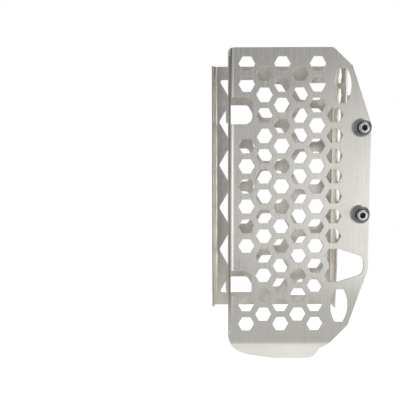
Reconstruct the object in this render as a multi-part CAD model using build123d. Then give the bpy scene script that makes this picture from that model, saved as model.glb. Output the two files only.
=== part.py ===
from build123d import *
import os
from math import cos, radians, sin, sqrt, tan

# All sizes are in millimetres. X runs outward across the panel, Y runs back from its front face
# and Z runs up. The top cell of the inner honeycomb column is at X = 0, Z = 0.

# Front guard: sheet and outline
guard_sheet = 2.0
inner_edge_x = -18.0
crest_x = 79.8
shoulder_x = 97.8
wing_edge_x = 116.0
panel_top_z = 15.0
upper_shoulder_z = -2.0
upper_wing_z = -55.5
lower_wing_z = -193.4
lower_shoulder_z = -248.2
lower_crest_x = 81.5
lower_crest_z = -265.2
top_inner_corner = 6.0
shoulder_corner = 4.0
wing_corner = 6.0
lower_shoulder_corner = 5.0
lower_crest_corner = 12.0

# Front guard: bottom lip, with its heights as they lie on the flat sheet before bending
lip_bend_z = -268.7
lip_angle = 30.0
lip_bend_radius = 6.0
lip_notch_x = 71.5
lip_notch_z = -272.3
lip_notch_corner = 4.0
lip_end_x = 65.4
lip_end_corner = 7.5
lip_edge_z = -286.3
lip_slope_x = 27.0
lip_slope_radius = 40.0
lip_inner_z = -276.8
lip_inner_radius = 28.0

# Front guard: inner flange, which stands forward, and the side tabs in its plane
flange_x = -15.9
flange_height = 10.0
flange_lean = 2.5
flange_top_z = 7.6
flange_bottom_z = -253.4
flange_corner = 2.0
flange_bend_radius = 3.5
fold_end_z = -256.0
relief_height = 0.4
side_tab_gap = 1.2
side_tab_corner = 6.0

# Front guard: honeycomb and openings
cell_pitch = 19.0
cell_flats = 13.4
slot_end_x = 5.2
slot_height = 24.8
slot_corner = 7.0
upper_slot_z = -43.1
lower_slot_z = -207.3
lens_x = 89.2
lens_width = 16.4
lens_height = 32.4
lens_end_width = 7.4
lens_corner = 1.0
upper_lens_z = -20.4
lower_lens_z = -229.2
port_inner_x = 78.9
port_flat_x = 87.0
port_nose_x = 111.8
port_nose_height = 16.8
port_nose_radius = 8.0
port_corner = 3.0

# Rear brace: sheet, plate and inner flange
brace_sheet = 1.2
brace_bend_radius = 3.0
plate_depth = 44.0
plate_top_z = 1.5
plate_bottom_z = -239.5
brace_flange_x = -28.6
brace_flange_height = 8.5
brace_flange_lean = 2.1
window_flats = 33.0
window_pitch = 43.0
window_corner = 4.0
middle_window_count = 5
side_window_count = 4
inner_window_x = -5.5
inner_window_z = -53.0
middle_window_x = 28.0
middle_window_z = -32.4
outer_window_x = 66.0
outer_window_z = -56.3
upper_half_rise = 41.4
lower_half_drop = 44.6
half_window_corner = 2.0

# Rear brace: outer wall and the tab that lies against the wing
wall_rear_x = 90.4
wall_front_x = 91.8
wall_cell_depth = 25.0
wall_cell_flats = 14.2
wall_cell_count = 9
wall_step_z = -172.0
wall_step_depth = 25.0
wall_step_corner = 6.0
wall_foot_depth = 30.5
wall_lip_x = 93.6
tab_top_z = -29.0
tab_upper_z = -62.0
tab_lower_z = -151.0
tab_bottom_z = -164.0
tab_crest_x = 100.0
tab_edge_x = 113.5
tab_foot_x = 104.0
tab_corner = 5.0

# Collars and bolts
bolt_x = 107.5
upper_bolt_z = -59.2
lower_bolt_z = -140.6
bolt_diameter = 6.0
bolt_length = 19.0
bolt_end_chamfer = 0.8
bolt_clearance = 0.4
neck_diameter = 5.0
neck_length = 0.8
thread_gap = 0.3
head_diameter = 10.0
head_height = 5.0
head_chamfer = 0.6
socket_flats = 5.0
socket_depth = 3.0
collar_flange_diameter = 17.6
collar_flange_height = 1.8
collar_body_diameter = 15.2
collar_height = 5.5
collar_body_chamfer = 0.9
collar_dish_diameter = 11.0
collar_dish_depth = 0.8

column_step = cell_pitch * sqrt(3) / 2
half_pitch = cell_pitch / 2
slot_heights = (upper_slot_z, lower_slot_z)
lens_heights = (upper_lens_z, lower_lens_z)
hole_diameter = bolt_diameter + bolt_clearance
bolt_heights = (upper_bolt_z, lower_bolt_z)


def rounded_face(corners):
    """Closed outline from (x, y, corner radius) triples."""
    face = make_face(Polyline(*[(x, y) for x, y, radius in corners], close=True))
    for x, y, radius in corners:
        if radius:
            face = fillet(face.vertices().sort_by_distance((x, y))[0], radius)
    return face


def folded_section(points, radius, thickness):
    """Section of a folded sheet that lies to the left of a path with rounded bends."""
    path = FilletPolyline(*points, radius=radius)
    return make_face(offset(path, amount=thickness, side=Side.LEFT))


def hexagon(flats):
    """Hexagon with flats at top and bottom."""
    return RegularPolygon(flats / 2, 6, major_radius=False)


# Front guard: one sheet, folded forward along the inner edge and back along the bottom.
# Its outline is drawn flat, then cut square to the panel above the bottom bend
# and square to the lip below it.
guard_outline = rounded_face(
    [
        (inner_edge_x, panel_top_z, top_inner_corner),
        (crest_x, panel_top_z, shoulder_corner),
        (shoulder_x, upper_shoulder_z, shoulder_corner),
        (wing_edge_x, upper_wing_z, wing_corner),
        (wing_edge_x, lower_wing_z, wing_corner),
        (shoulder_x, lower_shoulder_z, lower_shoulder_corner),
        (lower_crest_x, lower_crest_z, lower_crest_corner),
        (lip_notch_x, lip_notch_z, lip_notch_corner),
        (lip_end_x, lip_edge_z, lip_end_corner),
        (lip_slope_x, lip_edge_z, lip_slope_radius),
        (inner_edge_x, lip_inner_z, lip_inner_radius),
    ]
)
flat_sheet = Pos(0, -lip_bend_z) * guard_outline
sheet_reach = 2 * (panel_top_z - lip_edge_z)
above_bend = Pos(0, sheet_reach / 2) * Rectangle(sheet_reach, sheet_reach)
below_bend = Pos(0, -sheet_reach / 2) * Rectangle(sheet_reach, sheet_reach)
panel_plane = Plane(origin=(0, 0, lip_bend_z), x_dir=(1, 0, 0), z_dir=(0, -1, 0))
lip_plane = panel_plane.rotated((lip_angle, 0, 0))
panel_trim = extrude(panel_plane * (flat_sheet & above_bend), amount=2 * flange_height, both=True)
lip_trim = extrude(lip_plane * (flat_sheet & below_bend), amount=3 * guard_sheet, both=True)

flange_edge_x = flange_x + flange_height * tan(radians(flange_lean))
flange_section = folded_section(
    [(flange_edge_x, -flange_height), (flange_x, 0), (wing_edge_x, 0)],
    flange_bend_radius,
    guard_sheet,
)
panel = extrude(Plane.XY.offset(fold_end_z) * flange_section, amount=panel_top_z - fold_end_z)
lip_length = lip_bend_z - lip_edge_z
lip_tip_y = lip_length * sin(radians(lip_angle))
lip_tip_z = lip_bend_z - lip_length * cos(radians(lip_angle))
lip_section = folded_section(
    [(0, fold_end_z), (0, lip_bend_z), (lip_tip_y, lip_tip_z)],
    lip_bend_radius,
    guard_sheet,
)
lip = extrude(Plane.YZ.offset(inner_edge_x) * lip_section, amount=shoulder_x - inner_edge_x)
front_guard = (panel + lip) & (panel_trim + lip_trim)

# The flange stops short of both ends of the bend.
flange_outline = rounded_face(
    [
        (-flange_bend_radius, flange_top_z, 0),
        (-flange_height, flange_top_z, flange_corner),
        (-flange_height, flange_bottom_z, flange_corner),
        (-flange_bend_radius, flange_bottom_z, 0),
    ]
)
flange_blank = Pos(-flange_bend_radius, fold_end_z) * Rectangle(
    2 * flange_height, sheet_reach, align=(Align.MAX, Align.MIN)
)
bend_end_x = flange_x + flange_bend_radius
flange_waste = Plane.YZ.offset(inner_edge_x) * (flange_blank - flange_outline)
front_guard -= extrude(flange_waste, amount=bend_end_x - inner_edge_x)

# The honeycomb leaves room for the slots beside the flange and for the openings in the wing.
cell_rows = {
    0: (0, 1, 4, 5, 6, 7, 8, 9, 12, 13),
    1: range(13),
    2: range(14),
    3: range(13),
    4: range(14),
    5: range(2, 9),
}
port_column = 5
port_rows = (9, 10)
panel_cell = hexagon(cell_flats)
cells = [
    Pos(column * column_step, -row * cell_pitch - column % 2 * half_pitch) * panel_cell
    for column, rows in cell_rows.items()
    for row in rows
]

slot = rounded_face(
    [
        (flange_edge_x, slot_height / 2, 0),
        (slot_end_x, slot_height / 2, slot_corner),
        (slot_end_x, -slot_height / 2, slot_corner),
        (flange_edge_x, -slot_height / 2, 0),
    ]
)
slots = [Pos(0, height) * slot for height in slot_heights]

lens_top = Line((-lens_end_width / 2, lens_height / 2), (lens_end_width / 2, lens_height / 2))
lens_side = ThreePointArc(
    (lens_end_width / 2, lens_height / 2), (lens_width / 2, 0), (lens_end_width / 2, -lens_height / 2)
)
lens = make_face([lens_top, lens_side, mirror(lens_top, Plane.XZ), mirror(lens_side, Plane.YZ)])
lens = fillet(lens.vertices(), lens_corner)
lenses = [Pos(lens_x, height) * lens for height in lens_heights]

# The half-round port takes in two cells of the outer column.
port_height = cell_pitch + cell_flats
port_z = -sum(port_rows) / 2 * cell_pitch - half_pitch
port = Pos(0, port_z) * rounded_face(
    [
        (port_inner_x, port_height / 2, 0),
        (port_flat_x, port_height / 2, port_corner),
        (port_nose_x, port_nose_height / 2, port_nose_radius),
        (port_nose_x, -port_nose_height / 2, port_nose_radius),
        (port_flat_x, -port_height / 2, port_corner),
        (port_inner_x, -port_height / 2, 0),
    ]
)
port_cells = [
    Pos(port_column * column_step, -row * cell_pitch - half_pitch) * panel_cell for row in port_rows
]

bolt_holes = [Pos(bolt_x, height) * Circle(hole_diameter / 2) for height in bolt_heights]
relief = Pos(inner_edge_x, fold_end_z) * Rectangle(
    bend_end_x - inner_edge_x, relief_height, align=(Align.MIN, Align.CENTER)
)
openings = Sketch() + cells + slots + lenses + [port] + port_cells + bolt_holes + [relief]
front_guard -= extrude(Plane.XZ * openings, amount=2 * flange_bend_radius, both=True)

# Each side tab is cut out of its slot on three sides, so the fold that brings the flange
# forward swings the tab back.
side_tab_length = slot_end_x - flange_x
side_tab_height = slot_height - 2 * side_tab_gap
side_tab = rounded_face(
    [
        (flange_bend_radius, side_tab_height / 2, 0),
        (flange_bend_radius, -side_tab_height / 2, 0),
        (-side_tab_length, -side_tab_height / 2, side_tab_corner),
        (-side_tab_length, side_tab_height / 2, side_tab_corner),
    ]
)
side_tabs = Sketch() + [Pos(0, height) * side_tab for height in slot_heights]
upright_plane = Plane(origin=(flange_x, 0, 0), x_dir=(0, -1, 0), z_dir=(-1, 0, 0))
flange_plane = upright_plane.rotated((0, 0, flange_lean))
front_guard += extrude(flange_plane * side_tabs, amount=guard_sheet)

# Rear brace: one sheet with the plate behind the radiator, a short inner flange,
# the outer wall and the tab under the wing.
brace_section = folded_section(
    [
        (brace_flange_x - brace_flange_lean, plate_depth - brace_flange_height),
        (brace_flange_x, plate_depth),
        (wall_rear_x, plate_depth),
        (wall_front_x, guard_sheet),
        (tab_edge_x, guard_sheet),
    ],
    brace_bend_radius,
    brace_sheet,
)
rear_brace = extrude(Plane.XY.offset(plate_bottom_z) * brace_section, amount=plate_top_z - plate_bottom_z)

# The middle column has full windows only. The other two end in half windows.
window = hexagon(window_flats)
window = fillet(window.vertices(), window_corner)
window_side = window_flats / sqrt(3)
half_window = rounded_face(
    [
        (-window_side, 0, half_window_corner),
        (window_side, 0, half_window_corner),
        (window_side / 2, -window_flats / 2, window_corner),
        (-window_side / 2, -window_flats / 2, window_corner),
    ]
)
windows = Sketch() + [
    Pos(middle_window_x, middle_window_z - row * window_pitch) * window for row in range(middle_window_count)
]
for column_x, column_z in ((inner_window_x, inner_window_z), (outer_window_x, outer_window_z)):
    last_z = column_z - (side_window_count - 1) * window_pitch
    windows += [Pos(column_x, column_z - row * window_pitch) * window for row in range(side_window_count)]
    windows += Pos(column_x, column_z + upper_half_rise) * half_window
    windows += Pos(column_x, last_z - lower_half_drop) * mirror(half_window, Plane.XZ)
window_cut = Plane.XZ.offset(-plate_depth) * windows
rear_brace -= extrude(window_cut, amount=2 * brace_sheet, both=True)

wall_cell = hexagon(wall_cell_flats)
wall_cells = Sketch() + [
    Pos(wall_cell_depth, -row * cell_pitch - half_pitch) * wall_cell for row in range(wall_cell_count)
]
rear_brace -= extrude(Plane.YZ.offset(wall_rear_x) * wall_cells, amount=4 * brace_sheet, both=True)

# Below the step the wall is cut back, and the tab keeps inside the edge of the wing.
wall_waste = rounded_face(
    [
        (0, wall_step_z, 0),
        (wall_step_depth, wall_step_z, wall_step_corner),
        (wall_foot_depth, plate_bottom_z, 0),
        (0, plate_bottom_z, 0),
    ]
)
rear_brace -= extrude(Plane.YZ.offset(wall_rear_x - brace_bend_radius) * wall_waste, amount=sheet_reach)
tab_outline = rounded_face(
    [
        (wall_lip_x, tab_top_z, 0),
        (tab_crest_x, tab_top_z, tab_corner),
        (tab_edge_x, tab_upper_z, tab_corner),
        (tab_edge_x, tab_lower_z, tab_corner),
        (tab_foot_x, tab_bottom_z, tab_corner),
        (wall_lip_x, tab_bottom_z, 0),
    ]
)
tab_blank = Pos(wall_lip_x, plate_bottom_z) * Rectangle(
    sheet_reach, sheet_reach, align=(Align.MIN, Align.MIN)
)
rear_brace -= extrude(Plane.XZ * (tab_blank - tab_outline), amount=-plate_depth / 2)
rear_brace -= extrude(Plane.XZ * (Sketch() + bolt_holes), amount=-plate_depth / 2)

# Collar: turned flanged bush with a dish that the bolt head sits in. Built along +Z from the wing.
head_seat = collar_height - collar_dish_depth
collar_profile = rounded_face(
    [
        (hole_diameter / 2, 0, 0),
        (collar_flange_diameter / 2, 0, 0),
        (collar_flange_diameter / 2, collar_flange_height, 0),
        (collar_body_diameter / 2, collar_flange_height, 0),
        (collar_body_diameter / 2, collar_height - collar_body_chamfer, 0),
        (collar_body_diameter / 2 - collar_body_chamfer, collar_height, 0),
        (collar_dish_diameter / 2, collar_height, 0),
        (collar_dish_diameter / 2, head_seat, 0),
        (hole_diameter / 2, head_seat, 0),
    ]
)
collar = revolve(Plane.XZ * collar_profile, Axis.Z)

# Bolt: cap head with a hexagon socket, a plain shank, and a neck before the free threaded end.
bolt_end = head_seat - bolt_length
head_top = head_seat + head_height
thread_depth = guard_sheet + brace_sheet + thread_gap
bolt_profile = rounded_face(
    [
        (0, bolt_end, 0),
        (bolt_diameter / 2 - bolt_end_chamfer, bolt_end, 0),
        (bolt_diameter / 2, bolt_end + bolt_end_chamfer, 0),
        (bolt_diameter / 2, -thread_depth, 0),
        (neck_diameter / 2, -thread_depth, 0),
        (neck_diameter / 2, neck_length - thread_depth, 0),
        (bolt_diameter / 2, neck_length - thread_depth, 0),
        (bolt_diameter / 2, head_seat, 0),
        (head_diameter / 2, head_seat, 0),
        (head_diameter / 2, head_top - head_chamfer, 0),
        (head_diameter / 2 - head_chamfer, head_top, 0),
        (0, head_top, 0),
    ]
)
bolt = revolve(Plane.XZ * bolt_profile, Axis.Z)
bolt -= extrude(Plane.XY.offset(head_top) * hexagon(socket_flats), amount=-socket_depth)

# The shared origin is on the upper bolt, where its free thread starts behind the tab.
to_origin = Pos(-bolt_x, -thread_depth, -upper_bolt_z)
face_forward = Rot(90, 0, 0)
upper_place = to_origin * Pos(bolt_x, 0, upper_bolt_z) * face_forward
lower_place = to_origin * Pos(bolt_x, 0, lower_bolt_z) * face_forward

os.makedirs("parts", exist_ok=True)
export_step(to_origin * front_guard, "parts/front_guard.step")
export_step(to_origin * rear_brace, "parts/rear_brace.step")
export_step(upper_place * collar, "parts/collar_upper.step")
export_step(lower_place * collar, "parts/collar_lower.step")
export_step(upper_place * bolt, "parts/bolt_upper.step")
export_step(lower_place * bolt, "parts/bolt_lower.step")
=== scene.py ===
from math import cos, pi, radians, sin

import bmesh
import bpy
from mathutils import Matrix, Vector


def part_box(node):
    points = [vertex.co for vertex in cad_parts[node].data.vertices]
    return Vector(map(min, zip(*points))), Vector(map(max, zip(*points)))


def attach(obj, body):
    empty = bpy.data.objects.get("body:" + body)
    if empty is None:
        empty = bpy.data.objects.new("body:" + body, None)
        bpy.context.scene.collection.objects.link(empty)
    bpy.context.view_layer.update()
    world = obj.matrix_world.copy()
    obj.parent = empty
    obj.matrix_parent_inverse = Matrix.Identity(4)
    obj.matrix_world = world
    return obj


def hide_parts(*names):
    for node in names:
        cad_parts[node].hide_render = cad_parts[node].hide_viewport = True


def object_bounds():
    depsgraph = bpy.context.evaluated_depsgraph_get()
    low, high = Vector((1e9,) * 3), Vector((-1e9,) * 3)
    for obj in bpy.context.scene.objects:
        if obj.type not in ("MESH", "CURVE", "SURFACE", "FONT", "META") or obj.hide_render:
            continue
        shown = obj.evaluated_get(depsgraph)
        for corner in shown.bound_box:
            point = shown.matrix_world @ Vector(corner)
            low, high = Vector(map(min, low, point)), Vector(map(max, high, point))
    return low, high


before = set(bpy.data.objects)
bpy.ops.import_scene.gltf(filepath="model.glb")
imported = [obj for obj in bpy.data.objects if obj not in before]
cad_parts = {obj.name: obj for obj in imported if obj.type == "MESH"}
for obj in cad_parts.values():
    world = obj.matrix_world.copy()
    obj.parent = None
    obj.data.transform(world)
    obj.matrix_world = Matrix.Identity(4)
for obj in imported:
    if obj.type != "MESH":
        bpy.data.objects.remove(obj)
cad_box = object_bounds()


# Rear brace
# One 1.2 mm sheet of stainless steel that stands behind the radiator, laser cut with large hexagon windows.
# It is folded at both sides, and its tab lies behind the guard's wing, where the two bolts clamp it.

def linear(colour):
    """Linear RGBA of an sRGB hex colour."""
    channels = [int(colour[start:start + 2], 16) / 255 for start in (1, 3, 5)]
    return [c / 12.92 if c <= 0.04045 else ((c + 0.055) / 1.055) ** 2.4 for c in channels] + [1.0]


def add_node(tree, kind, inputs=None, **settings):
    """Adds a node, sets its properties, and gives each input a value or links it to another node's output.
    A Mix node's inputs go by number: 0 is the share, 2 and 3 are its numbers, 6 and 7 its colours."""
    node = tree.nodes.new(kind)
    for name, value in settings.items():
        setattr(node, name, value)
    for name, value in (inputs or {}).items():
        if isinstance(value, bpy.types.NodeSocket):
            tree.links.new(value, node.inputs[name])
        else:
            node.inputs[name].default_value = value
    return node


def new_material(name):
    """A new material and its emptied node tree."""
    material = bpy.data.materials.new(name)
    material.use_nodes = True
    material.node_tree.nodes.clear()
    return material, material.node_tree


def dress(node, material):
    """Gives a piece of the frame its material."""
    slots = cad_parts[node].data.materials
    slots.clear()
    slots.append(material)


def rims_worn_and_highlighted(tree, radius, samples, on_face, on_rim):
    """A normal that rounds a piece's edges to the eye, and the share of paler rim beside them, partly wear
    and partly a painted highlight.
    on_face and on_rim are how far the two normals agree, as a cosine, where the rim begins and is full."""
    rounded = add_node(tree, "ShaderNodeBevel", {"Radius": radius}, samples=samples).outputs["Normal"]
    facing = add_node(tree, "ShaderNodeNewGeometry").outputs["Normal"]
    agree = add_node(tree, "ShaderNodeVectorMath", {0: rounded, 1: facing}, operation="DOT_PRODUCT")
    rim = add_node(tree, "ShaderNodeMapRange", {
        "Value": agree.outputs["Value"], "From Min": on_face, "From Max": on_rim})
    return rounded, rim.outputs["Result"]


def dull_and_shaded_flange_edge(tree, place, toward, start, foot):
    """The share of cut edge drawn darker, partly a dull raw cut and partly painted shade: 1 on the narrow
    faces past the start of a flange, fading out at its foot.
    """
    foot_fade = 0.03
    most_sideways = 0.5
    reach = add_node(tree, "ShaderNodeVectorMath", {0: place, 1: toward}, operation="DOT_PRODUCT")
    on_flange = add_node(tree, "ShaderNodeMath", {
        0: reach.outputs["Value"], 1: start}, operation="GREATER_THAN")
    facing = add_node(tree, "ShaderNodeNewGeometry").outputs["Normal"]
    facing_parts = add_node(tree, "ShaderNodeSeparateXYZ", {"Vector": facing}).outputs
    sideways = add_node(tree, "ShaderNodeMath", {0: facing_parts["X"]}, operation="ABSOLUTE")
    narrow_face = add_node(tree, "ShaderNodeMath", {
        0: sideways.outputs[0], 1: most_sideways}, operation="LESS_THAN")
    height = add_node(tree, "ShaderNodeSeparateXYZ", {"Vector": place}).outputs["Z"]
    above_foot = add_node(tree, "ShaderNodeMapRange", {
        "Value": height, "From Min": foot, "From Max": foot + foot_fade})
    share = on_flange
    for mask in (narrow_face, above_foot):
        share = add_node(tree, "ShaderNodeMath", {
            0: share.outputs[0], 1: mask.outputs[0]}, operation="MULTIPLY")
    return share.outputs[0]


def eased_fold(tree, place, normal, fold):
    """A sheet's normal, with the fold at one height shaded softer than its radius, as a press rolls it."""
    fold_angle = radians(30)
    bend_above = 0.0016
    bend_below = 0.0014
    roll_above = 0.009
    roll_below = 0.008
    height = add_node(tree, "ShaderNodeSeparateXYZ", {"Vector": place}).outputs["Z"]
    bent = add_node(tree, "ShaderNodeMapRange", {
        "Value": height, "From Min": fold + bend_above, "From Max": fold - bend_below, "To Max": fold_angle})
    rolled = add_node(tree, "ShaderNodeMapRange", {
        "Value": height, "From Min": fold + roll_above, "From Max": fold - roll_below, "To Max": fold_angle})
    eased = add_node(tree, "ShaderNodeMath", {0: rolled.outputs[0], 1: bent.outputs[0]}, operation="SUBTRACT")
    soft = add_node(tree, "ShaderNodeVectorRotate", {
        "Vector": normal, "Angle": eased.outputs[0]}, rotation_type="X_AXIS")
    return soft.outputs["Vector"]


def brushed_stainless(name, dark, light, edge, cut, grain_width, grain_length, stain_size,
                      roughest, smoothest, scatter, drawn_out, scratch_depth,
                      flange_toward, flange_from, flange_foot, fold):
    """Stainless sheet brushed along Z with a belt, then laser cut, freed of burrs and folded.
    The eye sees fine upright streaks, highlights drawn out across them, faint hand marks and bright rims,
    partly from deburring and partly a painted highlight.
    The flange's cut edge is painted darker than the faces, partly as a dull raw cut and partly as painted
    shade, and the fold at the foot turns over softly.
    A belt's scratches are under 0.1 mm wide, so they are drawn about a pixel wide to show at all."""
    band_width = 5 * grain_width
    band_length = 3 * grain_length
    band_offset = (3.1, 1.7, 0.4)
    band_share = 0.4
    noise_low = 0.35
    noise_high = 0.65
    material, tree = new_material(name)
    place = add_node(tree, "ShaderNodeTexCoord").outputs["Object"]
    along_grain = add_node(tree, "ShaderNodeMapping", {
        "Vector": place, "Scale": (1 / grain_width, 1 / grain_width, 1 / grain_length)})
    grain = add_node(tree, "ShaderNodeTexNoise", {
        "Vector": along_grain.outputs["Vector"], "Scale": 1.0, "Detail": 4.0, "Roughness": 0.65})
    along_bands = add_node(tree, "ShaderNodeMapping", {
        "Vector": place, "Location": band_offset,
        "Scale": (1 / band_width, 1 / band_width, 1 / band_length)})
    bands = add_node(tree, "ShaderNodeTexNoise", {
        "Vector": along_bands.outputs["Vector"], "Scale": 1.0, "Detail": 2.0, "Roughness": 0.5})
    stains = add_node(tree, "ShaderNodeTexNoise", {
        "Vector": place, "Scale": 1 / stain_size, "Detail": 3.0, "Roughness": 0.5})

    streak = add_node(tree, "ShaderNodeMix", {0: band_share, 2: grain.outputs[0], 3: bands.outputs[0]})
    tone = add_node(tree, "ShaderNodeMapRange", {
        "Value": streak.outputs[0], "From Min": 0.3, "From Max": 0.7})
    steel = add_node(tree, "ShaderNodeMix", {
        0: tone.outputs["Result"], 6: linear(dark), 7: linear(light)}, data_type="RGBA")
    rounded, rim = rims_worn_and_highlighted(tree, radius=0.0005, samples=6, on_face=0.995, on_rim=0.8)
    # Rims are painted paler: partly deburring, partly a painted highlight.
    deburred_and_highlighted = add_node(tree, "ShaderNodeMix", {
        0: rim, 6: steel.outputs[2], 7: linear(edge)}, data_type="RGBA")
    # The flange's cut edge is painted darker, partly as a dull raw cut and partly as painted shade.
    dull_and_shaded_edge = dull_and_shaded_flange_edge(tree, place, flange_toward, flange_from, flange_foot)
    colour = add_node(tree, "ShaderNodeMix", {
        0: dull_and_shaded_edge, 6: deburred_and_highlighted.outputs[2], 7: linear(cut)}, data_type="RGBA")

    worn = add_node(tree, "ShaderNodeMapRange", {
        "Value": stains.outputs[0], "From Min": noise_low, "From Max": noise_high,
        "To Min": smoothest, "To Max": roughest})
    gloss = add_node(tree, "ShaderNodeMapRange", {
        "Value": grain.outputs[0], "From Min": noise_low, "From Max": noise_high,
        "To Min": -scatter, "To Max": scatter})
    roughness = add_node(tree, "ShaderNodeMath", {
        0: worn.outputs["Result"], 1: gloss.outputs["Result"]}, operation="ADD")
    scratches = add_node(tree, "ShaderNodeBump", {
        "Height": grain.outputs[0], "Strength": scratch_depth, "Distance": 0.0002,
        "Normal": eased_fold(tree, place, rounded, fold)})
    across = add_node(tree, "ShaderNodeTangent", direction_type="RADIAL", axis="Z")
    surface = add_node(tree, "ShaderNodeBsdfPrincipled", {
        "Base Color": colour.outputs[2], "Metallic": 1.0, "Roughness": roughness.outputs["Value"],
        "Anisotropic": drawn_out, "Tangent": across.outputs["Tangent"],
        "Normal": scratches.outputs["Normal"]})
    add_node(tree, "ShaderNodeOutputMaterial", {"Surface": surface.outputs["BSDF"]})
    return material


# The brace's flange edge is drawn darker along its whole height, partly as a dull raw cut and partly as
# painted shade, and its sheet has no fold across the grain.
below_sheet = -1.0
# The brace's steel is painted lighter than the guard's same steel: painted light for the brace standing in
# the guard's shade.
dress("rear_brace", brushed_stainless(
    "stainless_sheet_brushed_brace", dark="#F4F0E9", light="#FAF6EF", edge="#FCF9F4", cut="#B8B5AF",
    grain_width=0.0008, grain_length=0.035, stain_size=0.045,
    roughest=0.24, smoothest=0.18, scatter=0.02, drawn_out=0.5, scratch_depth=0.02,
    flange_toward=(-1.0, 0.0, 0.0), flange_from=0.1365, flange_foot=below_sheet, fold=below_sheet))


# Front guard
# One 2 mm sheet of the same stainless steel in front of the radiator, laser cut with a honeycomb.
# One fold brings its inner edge forward as a flange and swings two tabs back. Its foot is bent back to a lip.

# The darker cut colour paints the flange's edge partly as a dull raw cut and partly as painted shade.
dress("front_guard", brushed_stainless(
    "stainless_sheet_brushed_guard", dark="#DEDBD6", light="#E8E5E0", edge="#F2F0EC", cut="#A09E9A",
    grain_width=0.0007, grain_length=0.030, stain_size=0.06,
    roughest=0.31, smoothest=0.26, scatter=0.06, drawn_out=0.85, scratch_depth=0.08,
    flange_toward=(0.0, -1.0, 0.0), flange_from=0.0075, flange_foot=-0.185, fold=-0.2095))


# Collars
# Two turned steel bushes with a flange, plated dark grey. Each one sits on the wing round its bolt
# and spreads the clamping force of the head over the thin sheet.

def turned_plated(name, centre, dark, light, edge, flange, flange_from, ring_pitch):
    """Steel turned on a lathe and zinc-nickel plated.
    The eye sees fine rings round the axis, paler edges that are partly worn by rubbing and partly a painted
    highlight, and a flange that is brighter than the body.
    Real tool marks are about 0.15 mm apart, so they are drawn coarser to show."""
    blotch_size = 0.003
    # A ring pattern runs through 20 radians in each unit of its scale.
    ring_rate = 20
    material, tree = new_material(name)
    place = add_node(tree, "ShaderNodeTexCoord").outputs["Object"]
    centred = add_node(tree, "ShaderNodeMapping", {
        "Vector": place, "Location": (-centre.x, -centre.y, -centre.z)})
    rings = add_node(tree, "ShaderNodeTexWave", {
        "Vector": centred.outputs["Vector"], "Scale": 2 * pi / (ring_rate * ring_pitch),
        "Distortion": 0.4, "Detail": 1.0}, wave_type="RINGS", rings_direction="Y")
    blotches = add_node(tree, "ShaderNodeTexNoise", {
        "Vector": place, "Scale": 1 / blotch_size, "Detail": 3.0})
    plate = add_node(tree, "ShaderNodeMix", {
        0: blotches.outputs[0], 6: linear(dark), 7: linear(light)}, data_type="RGBA")
    spoke = add_node(tree, "ShaderNodeVectorMath", {
        0: centred.outputs["Vector"], 1: (1.0, 0.0, 1.0)}, operation="MULTIPLY")
    from_axis = add_node(tree, "ShaderNodeVectorMath", {0: spoke.outputs["Vector"]}, operation="LENGTH")
    on_flange = add_node(tree, "ShaderNodeMath", {
        0: from_axis.outputs["Value"], 1: flange_from}, operation="GREATER_THAN")
    turned = add_node(tree, "ShaderNodeMix", {
        0: on_flange.outputs[0], 6: plate.outputs[2], 7: linear(flange)}, data_type="RGBA")
    rounded, rim = rims_worn_and_highlighted(tree, radius=0.0012, samples=8, on_face=0.9, on_rim=0.7)
    # Edges are painted paler: partly rubbing, partly a painted highlight.
    rubbed_and_highlighted = add_node(tree, "ShaderNodeMix", {
        0: rim, 6: turned.outputs[2], 7: linear(edge)}, data_type="RGBA")
    roughness = add_node(tree, "ShaderNodeMapRange", {
        "Value": rings.outputs[0], "To Min": 0.16, "To Max": 0.26})
    tool_marks = add_node(tree, "ShaderNodeBump", {
        "Height": rings.outputs[0], "Strength": 0.15, "Distance": 0.0001, "Normal": rounded})
    surface = add_node(tree, "ShaderNodeBsdfPrincipled", {
        "Base Color": rubbed_and_highlighted.outputs[2], "Metallic": 1.0, "Roughness": roughness.outputs["Result"],
        "Normal": tool_marks.outputs["Normal"]})
    add_node(tree, "ShaderNodeOutputMaterial", {"Surface": surface.outputs["BSDF"]})
    return material


for node in ("collar_upper", "collar_lower"):
    low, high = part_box(node)
    dress(node, turned_plated(
        "steel_turned_zinc_nickel_" + node, (low + high) / 2, dark="#737476", light="#8A8B8C", edge="#A2A2A0",
        flange="#B0AFAC", flange_from=0.0077, ring_pitch=0.0007))


# Bolts
# Two M6 cap-head bolts, cold headed with a hexagon socket and rolled with a 1 mm pitch thread.
# Each goes through collar, wing and tab, and its free end screws into the radiator's lug.

low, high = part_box("bolt_upper")
upper_centre = (low + high) / 2
lower_low, lower_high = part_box("bolt_lower")
bolt_spacing = (lower_low + lower_high) / 2 - upper_centre
head_top = low.y
head_radius = (high.x - low.x) / 2
head_seat = head_top + 0.0050
head_edge_width = 0.00070
head_edge_depth = 0.00085
head_edge_steps = 4
seat_chamfer = 0.00030
socket_half = 0.0025
socket_floor = head_top + 0.0030
point_depth = 0.0007
point_width = 0.7
socket_chamfer = 0.00030
socket_rim_width = 0.8 * socket_chamfer
socket_rim_depth = 0.1 * socket_chamfer
dish_radius = 0.00355
shank_radius = 0.0030
shank_end = -0.0008
neck_radius = 0.0025
neck_start = -0.0007
core_radius = 0.00245
thread_start = 0.0
thread_end = high.y - 0.0008
thread_pitch = 0.001
thread_runout = 0.0005
point_chamfer = 0.0003
segments = 48
sharpest_smooth = radians(32)
same_place = 1e-7


def socket_reach(angle):
    """Distance from the axis to a hexagon socket's wall in one direction."""
    return socket_half / cos((angle + pi / 6) % (pi / 3) - pi / 6)


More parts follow.
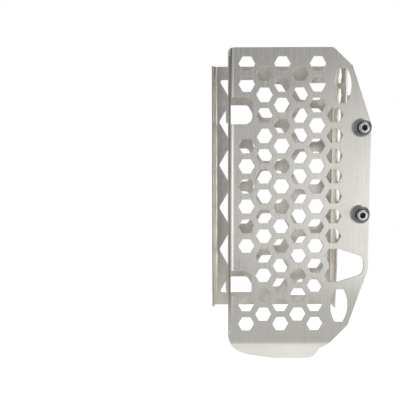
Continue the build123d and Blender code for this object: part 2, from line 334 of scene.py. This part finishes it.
# Each ring of the bolt's outline is a share of the hexagon, a radius added to it, and a place along the axis.
bolt_rings = [
    (0.0, 0.0, socket_floor + point_depth),
    (point_width, 0.0, socket_floor + (1 - point_width) * point_depth),
    (1.0, 0.0, socket_floor),
    (1.0, 0.0, head_top + socket_chamfer),
    (1.0, socket_rim_width, head_top + socket_rim_depth),
    (0.0, dish_radius, head_top),
]
for step in range(head_edge_steps + 1):
    lean = pi / 2 * step / head_edge_steps
    edge_radius = head_radius - head_edge_width * (1 - sin(lean))
    bolt_rings.append((0.0, edge_radius, head_top + head_edge_depth * (1 - cos(lean))))
bolt_rings += [
    (0.0, head_radius, head_seat - seat_chamfer),
    (0.0, head_radius - seat_chamfer, head_seat),
    (0.0, shank_radius, head_seat),
    (0.0, shank_radius, shank_end),
    (0.0, neck_radius, neck_start),
    (0.0, neck_radius, thread_start),
    (0.0, core_radius, thread_start),
    (0.0, core_radius, thread_end),
    (0.0, core_radius - point_chamfer, high.y),
    (0.0, 0.0, high.y),
]
blank = bmesh.new()
angles = [2 * pi * step / segments for step in range(segments)]
rows = []
for hexagon, radius, along in bolt_rings:
    reaches = [hexagon * socket_reach(angle) + radius for angle in angles]
    rows.append([blank.verts.new((reach * cos(angle), along, reach * sin(angle)))
                 for reach, angle in zip(reaches, angles)])
for near, far in zip(rows, rows[1:]):
    for step in range(segments):
        following = (step + 1) % segments
        blank.faces.new((near[step], near[following], far[following], far[step]))
bmesh.ops.remove_doubles(blank, verts=blank.verts, dist=same_place)
bmesh.ops.dissolve_degenerate(blank, edges=blank.edges, dist=same_place)
bmesh.ops.recalc_face_normals(blank, faces=blank.faces)
bolt_mesh = bpy.data.meshes.new("bolts")
blank.to_mesh(bolt_mesh)
blank.free()
bolt_mesh.shade_smooth()
bolt_mesh.set_sharp_from_angle(angle=sharpest_smooth)
bolts = bpy.data.objects.new("bolts", bolt_mesh)
bpy.context.scene.collection.objects.link(bolts)


def plated_bolt(name, dark, light, edge, socket):
    """Steel, cold headed and bright zinc plated.
    The eye sees a smooth bright head with soft mottling and paler rims, partly worn and partly a painted
    highlight, and a socket painted dark as painted shade for its recess."""
    mottle_size = 0.0015
    socket_width = 1.2 * socket_half
    socket_top = head_top + 0.0004
    socket_end = socket_floor + 0.0010
    half_spacing = bolt_spacing.length / 2
    material, tree = new_material(name)
    place = add_node(tree, "ShaderNodeTexCoord").outputs["Object"]
    mottling = add_node(tree, "ShaderNodeTexNoise", {
        "Vector": place, "Scale": 1 / mottle_size, "Detail": 3.0, "Roughness": 0.6})
    plate = add_node(tree, "ShaderNodeMix", {
        0: mottling.outputs[0], 6: linear(dark), 7: linear(light)}, data_type="RGBA")
    rounded, rim = rims_worn_and_highlighted(tree, radius=0.0002, samples=6, on_face=0.99, on_rim=0.8)
    # Rims are painted paler: partly wear, partly a painted highlight.
    rubbed_and_highlighted = add_node(tree, "ShaderNodeMix", {
        0: rim, 6: plate.outputs[2], 7: linear(edge)}, data_type="RGBA")
    where = add_node(tree, "ShaderNodeSeparateXYZ", {"Vector": place}).outputs
    off_axis = add_node(tree, "ShaderNodeMath", {
        0: where["Z"], 1: half_spacing, 2: -half_spacing}, operation="WRAP")
    spoke = add_node(tree, "ShaderNodeCombineXYZ", {"X": where["X"], "Z": off_axis.outputs[0]})
    from_axis = add_node(tree, "ShaderNodeVectorMath", {0: spoke.outputs[0]}, operation="LENGTH")
    inside = add_node(tree, "ShaderNodeMath", {
        0: from_axis.outputs["Value"], 1: socket_width}, operation="LESS_THAN")
    deep = add_node(tree, "ShaderNodeMath", {
        0: where["Y"], 1: (socket_top + socket_end) / 2, 2: (socket_end - socket_top) / 2},
        operation="COMPARE")
    in_socket = add_node(tree, "ShaderNodeMath", {
        0: inside.outputs[0], 1: deep.outputs[0]}, operation="MULTIPLY")
    # The socket's inside is painted dark: painted shade for the recess.
    socket_painted_shade = add_node(tree, "ShaderNodeMix", {
        0: in_socket.outputs[0], 6: rubbed_and_highlighted.outputs[2], 7: linear(socket)}, data_type="RGBA")
    roughness = add_node(tree, "ShaderNodeMapRange", {
        "Value": mottling.outputs[0], "From Min": 0.3, "From Max": 0.7, "To Min": 0.1, "To Max": 0.18})
    surface = add_node(tree, "ShaderNodeBsdfPrincipled", {
        "Base Color": socket_painted_shade.outputs[2], "Metallic": 1.0, "Roughness": roughness.outputs["Result"],
        "Normal": rounded})
    add_node(tree, "ShaderNodeOutputMaterial", {"Surface": surface.outputs["BSDF"]})
    return material


# The socket colour is a painted shade for the dark inside of the socket.
bolt_steel = plated_bolt(
    "steel_cold_headed_zinc", dark="#B4B4B2", light="#D0D0CE", edge="#EAEAE8", socket="#3A3A3B")

# The tree winds the thread's ridge onto the free end, and sets one bolt at each collar, each turned a little.
thread_tree = bpy.data.node_groups.new("rolled_thread", "GeometryNodeTree")
interface = thread_tree.interface
interface.new_socket("Geometry", in_out="INPUT", socket_type="NodeSocketGeometry")
thread_inputs = {
    "Pitch": ("NodeSocketFloat", thread_pitch),
    "Core Radius": ("NodeSocketFloat", core_radius),
    "Thread Depth": ("NodeSocketFloat", shank_radius - core_radius),
    "Thread Length": ("NodeSocketFloat", thread_end - thread_start - 2 * thread_runout),
    "Thread Start": ("NodeSocketVector", (0.0, thread_start + thread_runout, 0.0)),
    "Bolt Spacing": ("NodeSocketVector", tuple(bolt_spacing)),
    "Seed": ("NodeSocketInt", 4),
    "Material": ("NodeSocketMaterial", bolt_steel),
}
for name, (kind, value) in thread_inputs.items():
    interface.new_socket(name, in_out="INPUT", socket_type=kind)
interface.new_socket("Geometry", in_out="OUTPUT", socket_type="NodeSocketGeometry")
given = add_node(thread_tree, "NodeGroupInput").outputs

# The ridge is a kite: one half stands out of the core as the thread, the other is buried in it.
ridge_share = 0.46
turns = add_node(thread_tree, "ShaderNodeMath", {
    0: given["Thread Length"], 1: given["Pitch"]}, operation="DIVIDE")
helix = add_node(thread_tree, "GeometryNodeCurveSpiral", {
    "Resolution": 40, "Rotations": turns.outputs[0], "Start Radius": given["Core Radius"],
    "End Radius": given["Core Radius"], "Height": given["Thread Length"]})
upright = add_node(thread_tree, "GeometryNodeSetCurveNormal", {"Curve": helix.outputs["Curve"]}, mode="Z_UP")
half_width = add_node(thread_tree, "ShaderNodeMath", {
    0: given["Pitch"], 1: ridge_share}, operation="MULTIPLY")
full_depth = add_node(thread_tree, "ShaderNodeMath", {
    0: given["Thread Depth"], 1: 2.0}, operation="MULTIPLY")
ridge = add_node(thread_tree, "GeometryNodeCurvePrimitiveQuadrilateral", {
    "Width": full_depth.outputs[0], "Bottom Height": half_width.outputs[0],
    "Top Height": half_width.outputs[0]}, mode="KITE")
thread = add_node(thread_tree, "GeometryNodeCurveToMesh", {
    "Curve": upright.outputs["Curve"], "Profile Curve": ridge.outputs["Curve"], "Fill Caps": True})
along_bolt = add_node(thread_tree, "GeometryNodeTransform", {
    "Geometry": thread.outputs["Mesh"], "Translation": given["Thread Start"],
    "Rotation": (-pi / 2, 0.0, 0.0)})
flat_ridge = add_node(thread_tree, "GeometryNodeSetShadeSmooth", {
    "Geometry": along_bolt.outputs["Geometry"], "Shade Smooth": False})
one_bolt = add_node(thread_tree, "GeometryNodeJoinGeometry", {"Geometry": flat_ridge.outputs["Geometry"]})
thread_tree.links.new(given["Geometry"], one_bolt.inputs["Geometry"])
places = add_node(thread_tree, "GeometryNodeMeshLine", {"Count": 2, "Offset": given["Bolt Spacing"]})
spin = add_node(thread_tree, "FunctionNodeRandomValue", {
    0: (0.0, 0.0, 0.0), 1: (0.0, pi / 3, 0.0), "Seed": given["Seed"]}, data_type="FLOAT_VECTOR")
set_bolts = add_node(thread_tree, "GeometryNodeInstanceOnPoints", {
    "Points": places.outputs["Mesh"], "Instance": one_bolt.outputs["Geometry"], "Rotation": spin.outputs[0]})
solid_bolts = add_node(thread_tree, "GeometryNodeRealizeInstances", {
    "Geometry": set_bolts.outputs["Instances"]})
plated = add_node(thread_tree, "GeometryNodeSetMaterial", {
    "Geometry": solid_bolts.outputs["Geometry"], "Material": given["Material"]})
add_node(thread_tree, "NodeGroupOutput", {"Geometry": plated.outputs["Geometry"]})

modifier = bolts.modifiers.new("rolled_thread", "NODES")
modifier.node_group = thread_tree
identifiers = {item.name: item.identifier for item in interface.items_tree if item.in_out == "INPUT"}
for name, (kind, value) in thread_inputs.items():
    modifier[identifiers[name]] = value
evaluated = bolts.evaluated_get(bpy.context.evaluated_depsgraph_get())
finished = bpy.data.meshes.new_from_object(evaluated)
bolts.modifiers.remove(modifier)
bolts.data = finished
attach(bolts, "root")
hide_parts("bolt_upper", "bolt_lower")


# Stage
# White paper a little below the guard, a light table on it, a softbox up at the right and a pale room.
# Metal shows what is round it, so the room has a window in front, a paler left side and a dimmer right one.
# The camera stands as in the photograph, a little above the middle of the guard and to its left.

floor_half = 0.5
floor_x = -0.06
floor_level = cad_box[0][2] - 0.056
floor_mesh = bpy.data.meshes.new("floor")
plane = bmesh.new()
bmesh.ops.create_grid(plane, x_segments=1, y_segments=1, size=floor_half)
bmesh.ops.translate(plane, verts=plane.verts, vec=(floor_x, 0.0, floor_level))
plane.to_mesh(floor_mesh)
plane.free()
floor = bpy.data.objects.new("floor", floor_mesh)
bpy.context.scene.collection.objects.link(floor)

# Matt white paper, which the eye sees as a plain white ground and the steel as a grey one.
seen_by_steel = 0.31
seen_by_camera = 0.94
paper, tree = new_material("paper_matt_white")
path = add_node(tree, "ShaderNodeLightPath").outputs
matt = add_node(tree, "ShaderNodeBsdfDiffuse", {"Color": linear("#F2F2F0")})
seen = add_node(tree, "ShaderNodeMath", {
    0: path["Is Camera Ray"], 1: path["Is Glossy Ray"]}, operation="MAXIMUM")
whiteness = add_node(tree, "ShaderNodeMapRange", {
    "Value": path["Is Camera Ray"], "To Min": seen_by_steel, "To Max": seen_by_camera})
glow = add_node(tree, "ShaderNodeEmission", {"Color": linear("#FFFFFF"), "Strength": whiteness.outputs[0]})
faint = add_node(tree, "ShaderNodeBsdfDiffuse", {"Color": linear("#A0A09F")})
bright = add_node(tree, "ShaderNodeAddShader", {0: glow.outputs[0], 1: faint.outputs[0]})
lit = add_node(tree, "ShaderNodeMixShader", {
    0: seen.outputs[0], 1: matt.outputs[0], 2: bright.outputs[0]})
add_node(tree, "ShaderNodeOutputMaterial", {"Surface": lit.outputs[0]})
floor_mesh.materials.append(paper)

room = bpy.data.worlds.new("room")
room.use_nodes = True
tree = room.node_tree
tree.nodes.clear()
direction = add_node(tree, "ShaderNodeTexCoord").outputs["Generated"]
parts = add_node(tree, "ShaderNodeSeparateXYZ", {"Vector": direction}).outputs

# Each fade runs along one axis of the room from a start to an end, and from one level to another.
# A fade's second level may be an earlier fade, which is given by its name.
room_fades = [
    ("window", "X", 0.12, 0.37, 0.0, 1.82),
    ("dim_above", "Z", -0.08, 0.18, 1.0, 0.12),
    ("right_wall", "Z", 0.0, 0.1, 0.5, 0.0),
    ("dim_right", "X", 0.45, 0.85, 1.0, "right_wall"),
    ("in_front", "Y", 0.1, -0.3, 0.0, 1.0),
    ("back_wall", "X", 0.2, 0.6, 0.4, 0.7),
    ("behind", "Y", 0.0, 0.6, 0.0, "back_wall"),
    ("left_wall", "X", -0.3, -0.8, 0.23, 1.1),
    ("overhead", "Z", 0.45, 0.9, 0.0, 0.6),
]
fades = {}
for name, axis, start, end, first, second in room_fades:
    fade = add_node(tree, "ShaderNodeMapRange", {
        "Value": parts[axis], "From Min": start, "From Max": end,
        "To Min": first, "To Max": fades.get(second, second)}, interpolation_type="SMOOTHSTEP")
    fades[name] = fade.outputs["Result"]
level = add_node(tree, "ShaderNodeMath", {
    0: fades["window"], 1: fades["dim_above"], 2: fades["left_wall"]}, operation="MULTIPLY_ADD")
for share in ("dim_right", "in_front"):
    level = add_node(tree, "ShaderNodeMath", {0: level.outputs[0], 1: fades[share]}, operation="MULTIPLY")
for added in ("behind", "overhead"):
    level = add_node(tree, "ShaderNodeMath", {0: level.outputs[0], 1: fades[added]}, operation="ADD")
path = add_node(tree, "ShaderNodeLightPath").outputs
walls = add_node(tree, "ShaderNodeBackground", {"Color": linear("#FFFFFF"), "Strength": level.outputs[0]})
white = add_node(tree, "ShaderNodeBackground", {"Color": linear("#FFFFFF"), "Strength": 1.0})
shown = add_node(tree, "ShaderNodeMixShader", {
    0: path["Is Camera Ray"], 1: walls.outputs[0], 2: white.outputs[0]})
add_node(tree, "ShaderNodeOutputWorld", {"Surface": shown.outputs[0]})
bpy.context.scene.world = room


def softbox(name, place, aim, width, height, watts):
    """A soft rectangular lamp at one place, turned to a point of the guard."""
    lamp = bpy.data.lights.new(name, "AREA")
    lamp.shape = "RECTANGLE"
    lamp.size = width
    lamp.size_y = height
    lamp.energy = watts
    stand = bpy.data.objects.new(name, lamp)
    bpy.context.scene.collection.objects.link(stand)
    toward = Vector(aim) - Vector(place)
    stand.matrix_world = Matrix.Translation(place) @ toward.to_track_quat("-Z", "Y").to_matrix().to_4x4()
    stand.visible_camera = False


table_x = -0.07
table_y = 0.06
table_level = floor_level + 0.004
softbox("key_right", place=(0.64, -1.05, 0.76), aim=(-0.04, 0.0, -0.07), width=0.6, height=0.6, watts=3.0)
softbox("light_table", place=(table_x, table_y, table_level), aim=(table_x, table_y, 0.0),
        width=0.40, height=0.28, watts=0.17)

camera_data = bpy.data.cameras.new("camera")
camera_data.sensor_width = 36.0
camera_data.lens = 59.1
camera = bpy.data.objects.new("camera", camera_data)
bpy.context.scene.collection.objects.link(camera)
eye = Vector((-0.15149, -0.62001, -0.00159))
look_down = radians(6.08)
roll = radians(-0.2426)
forward = Vector((0.0, cos(look_down), -sin(look_down)))
right = Vector((1.0, 0.0, 0.0))
up = right.cross(forward)
rolled_right = cos(roll) * right + sin(roll) * up
rolled_up = cos(roll) * up - sin(roll) * right
camera_axes = Matrix((rolled_right, rolled_up, -forward)).transposed()
camera.matrix_world = Matrix.Translation(eye) @ camera_axes.to_4x4()
bpy.context.scene.camera = camera

bpy.context.scene.view_settings.view_transform = "Standard"
